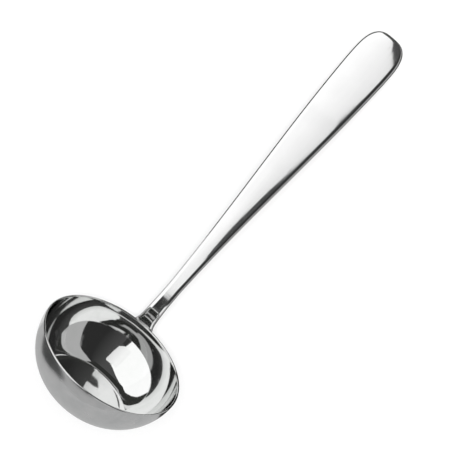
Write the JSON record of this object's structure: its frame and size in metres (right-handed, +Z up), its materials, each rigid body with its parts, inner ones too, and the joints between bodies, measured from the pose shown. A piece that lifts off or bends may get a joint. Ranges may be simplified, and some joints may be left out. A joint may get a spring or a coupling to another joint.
{
  "type": "soup ladle",
  "caption": "Soup ladle with a deep round bowl and a long curved handle welded to the bowl's outer wall; it dips out, carries and pours liquid food.",
  "frame": {"origin": "on the table under the middle of the ladle's length, where the ladle lies at rest on its foot and its tip", "axes": "+Y along the ladle from the bowl to the tip of the handle, +Z up from the table, X across; the ladle is the same on both sides of X = 0"},
  "size_m": [0.09, 0.2838, 0.085],
  "materials": {
    "bowl": "stainless steel, mirror-polished inside, satin outside",
    "handle": "stainless steel, mirror-polished",
    "weld_seam": "weld metal, ground and polished"
  },
  "bodies": {
    "root": {"bowl": "bowl", "handle": "handle", "weld_seam": "weld_seam"}
  },
  "joints": []
}
